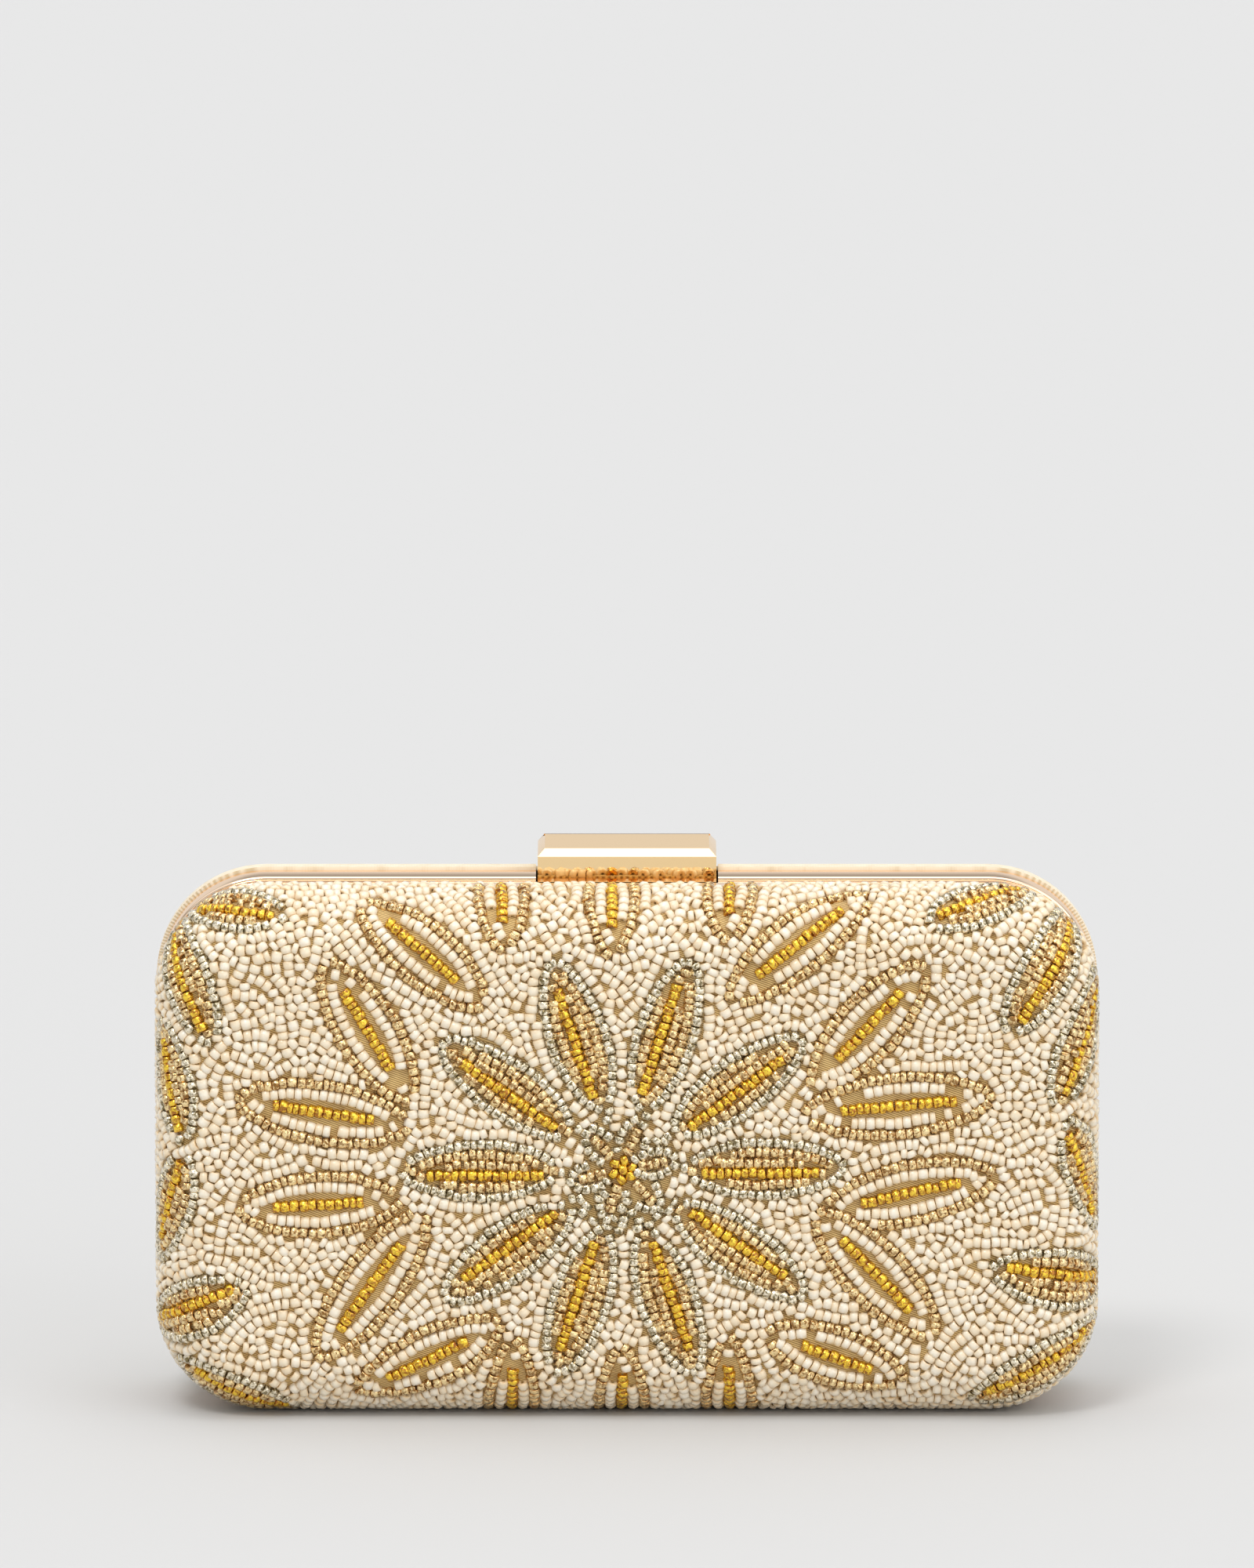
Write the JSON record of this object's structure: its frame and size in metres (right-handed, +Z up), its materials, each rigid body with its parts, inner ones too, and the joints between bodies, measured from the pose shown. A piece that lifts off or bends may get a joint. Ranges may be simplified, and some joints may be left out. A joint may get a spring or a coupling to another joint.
{
  "type": "evening bag",
  "caption": "Hard box clutch of two domed half shells in a polished frame, hinged along the bottom, with a beaded front, a ribbed fabric back and a press-down bar clasp on top.",
  "frame": {"origin": "on the surface the bag stands on, under the middle of its bounding box; y = 0 is the plane where the halves part", "axes": "+X along the width, -Y towards the beaded front, +Z up to the clasp"},
  "size_m": [0.1916, 0.05, 0.1142],
  "materials": {
    "pale_gold": "polished pale rose gold plating",
    "clasp_gold": "polished pale yellow gold plating",
    "steel": "plain satin steel",
    "shell_metal": "pressed sheet, unfinished and hidden",
    "beadwork": "satin closely sewn with ivory, silver and gold glass seed beads",
    "ribbed_fabric": "cream fabric with fine ribs",
    "satin": "champagne satin"
  },
  "bodies": {
    "rear_half": {"rear_frame": "pale_gold", "rear_shell": "shell_metal", "rear_cover": "ribbed_fabric", "rear_lining": "satin", "rear_pocket": "satin", "rear_hinge_left": "pale_gold", "rear_hinge_right": "pale_gold", "hinge_pin_left": "steel", "hinge_pin_right": "steel", "latch_housing": "steel", "hook_pin": "steel", "hook_spring": "steel", "housing_screw_left": "steel", "housing_screw_right": "steel", "clasp_spring_left": "steel", "clasp_spring_right": "steel"},
    "front_half": {"front_frame": "pale_gold", "front_shell": "shell_metal", "front_cover": "beadwork", "front_lining": "satin", "front_hinge_left": "pale_gold", "front_hinge_right": "pale_gold", "latch_strike": "steel", "strike_rivet_left": "steel", "strike_rivet_right": "steel"},
    "clasp_bar": {"clasp_bar": "clasp_gold"},
    "latch_hook": {"latch_hook": "steel"}
  },
  "joints": [
    {"name": "opening", "type": "hinge", "parent": "rear_half", "child": "front_half", "pos_m": [0, 0, 0.00125], "axis": [1, 0, 0], "range_deg": [0, 95]},
    {"name": "clasp_press", "type": "slide", "parent": "rear_half", "child": "clasp_bar", "axis": [0, 0, -1], "range_m": [0, 0.0015], "stiffness_N_per_m": 900, "springref_m": -0.003, "deforming": ["clasp_spring_left", "clasp_spring_right"]},
    {"name": "hook_turn", "type": "hinge", "parent": "rear_half", "child": "latch_hook", "pos_m": [0, 0.009, 0.0996], "axis": [1, 0, 0], "range_deg": [0, 14.5]}
  ],
  "couplings": [
    {"joint": "hook_turn", "follows": "clasp_press", "rad_per_m": 166.67}
  ]
}
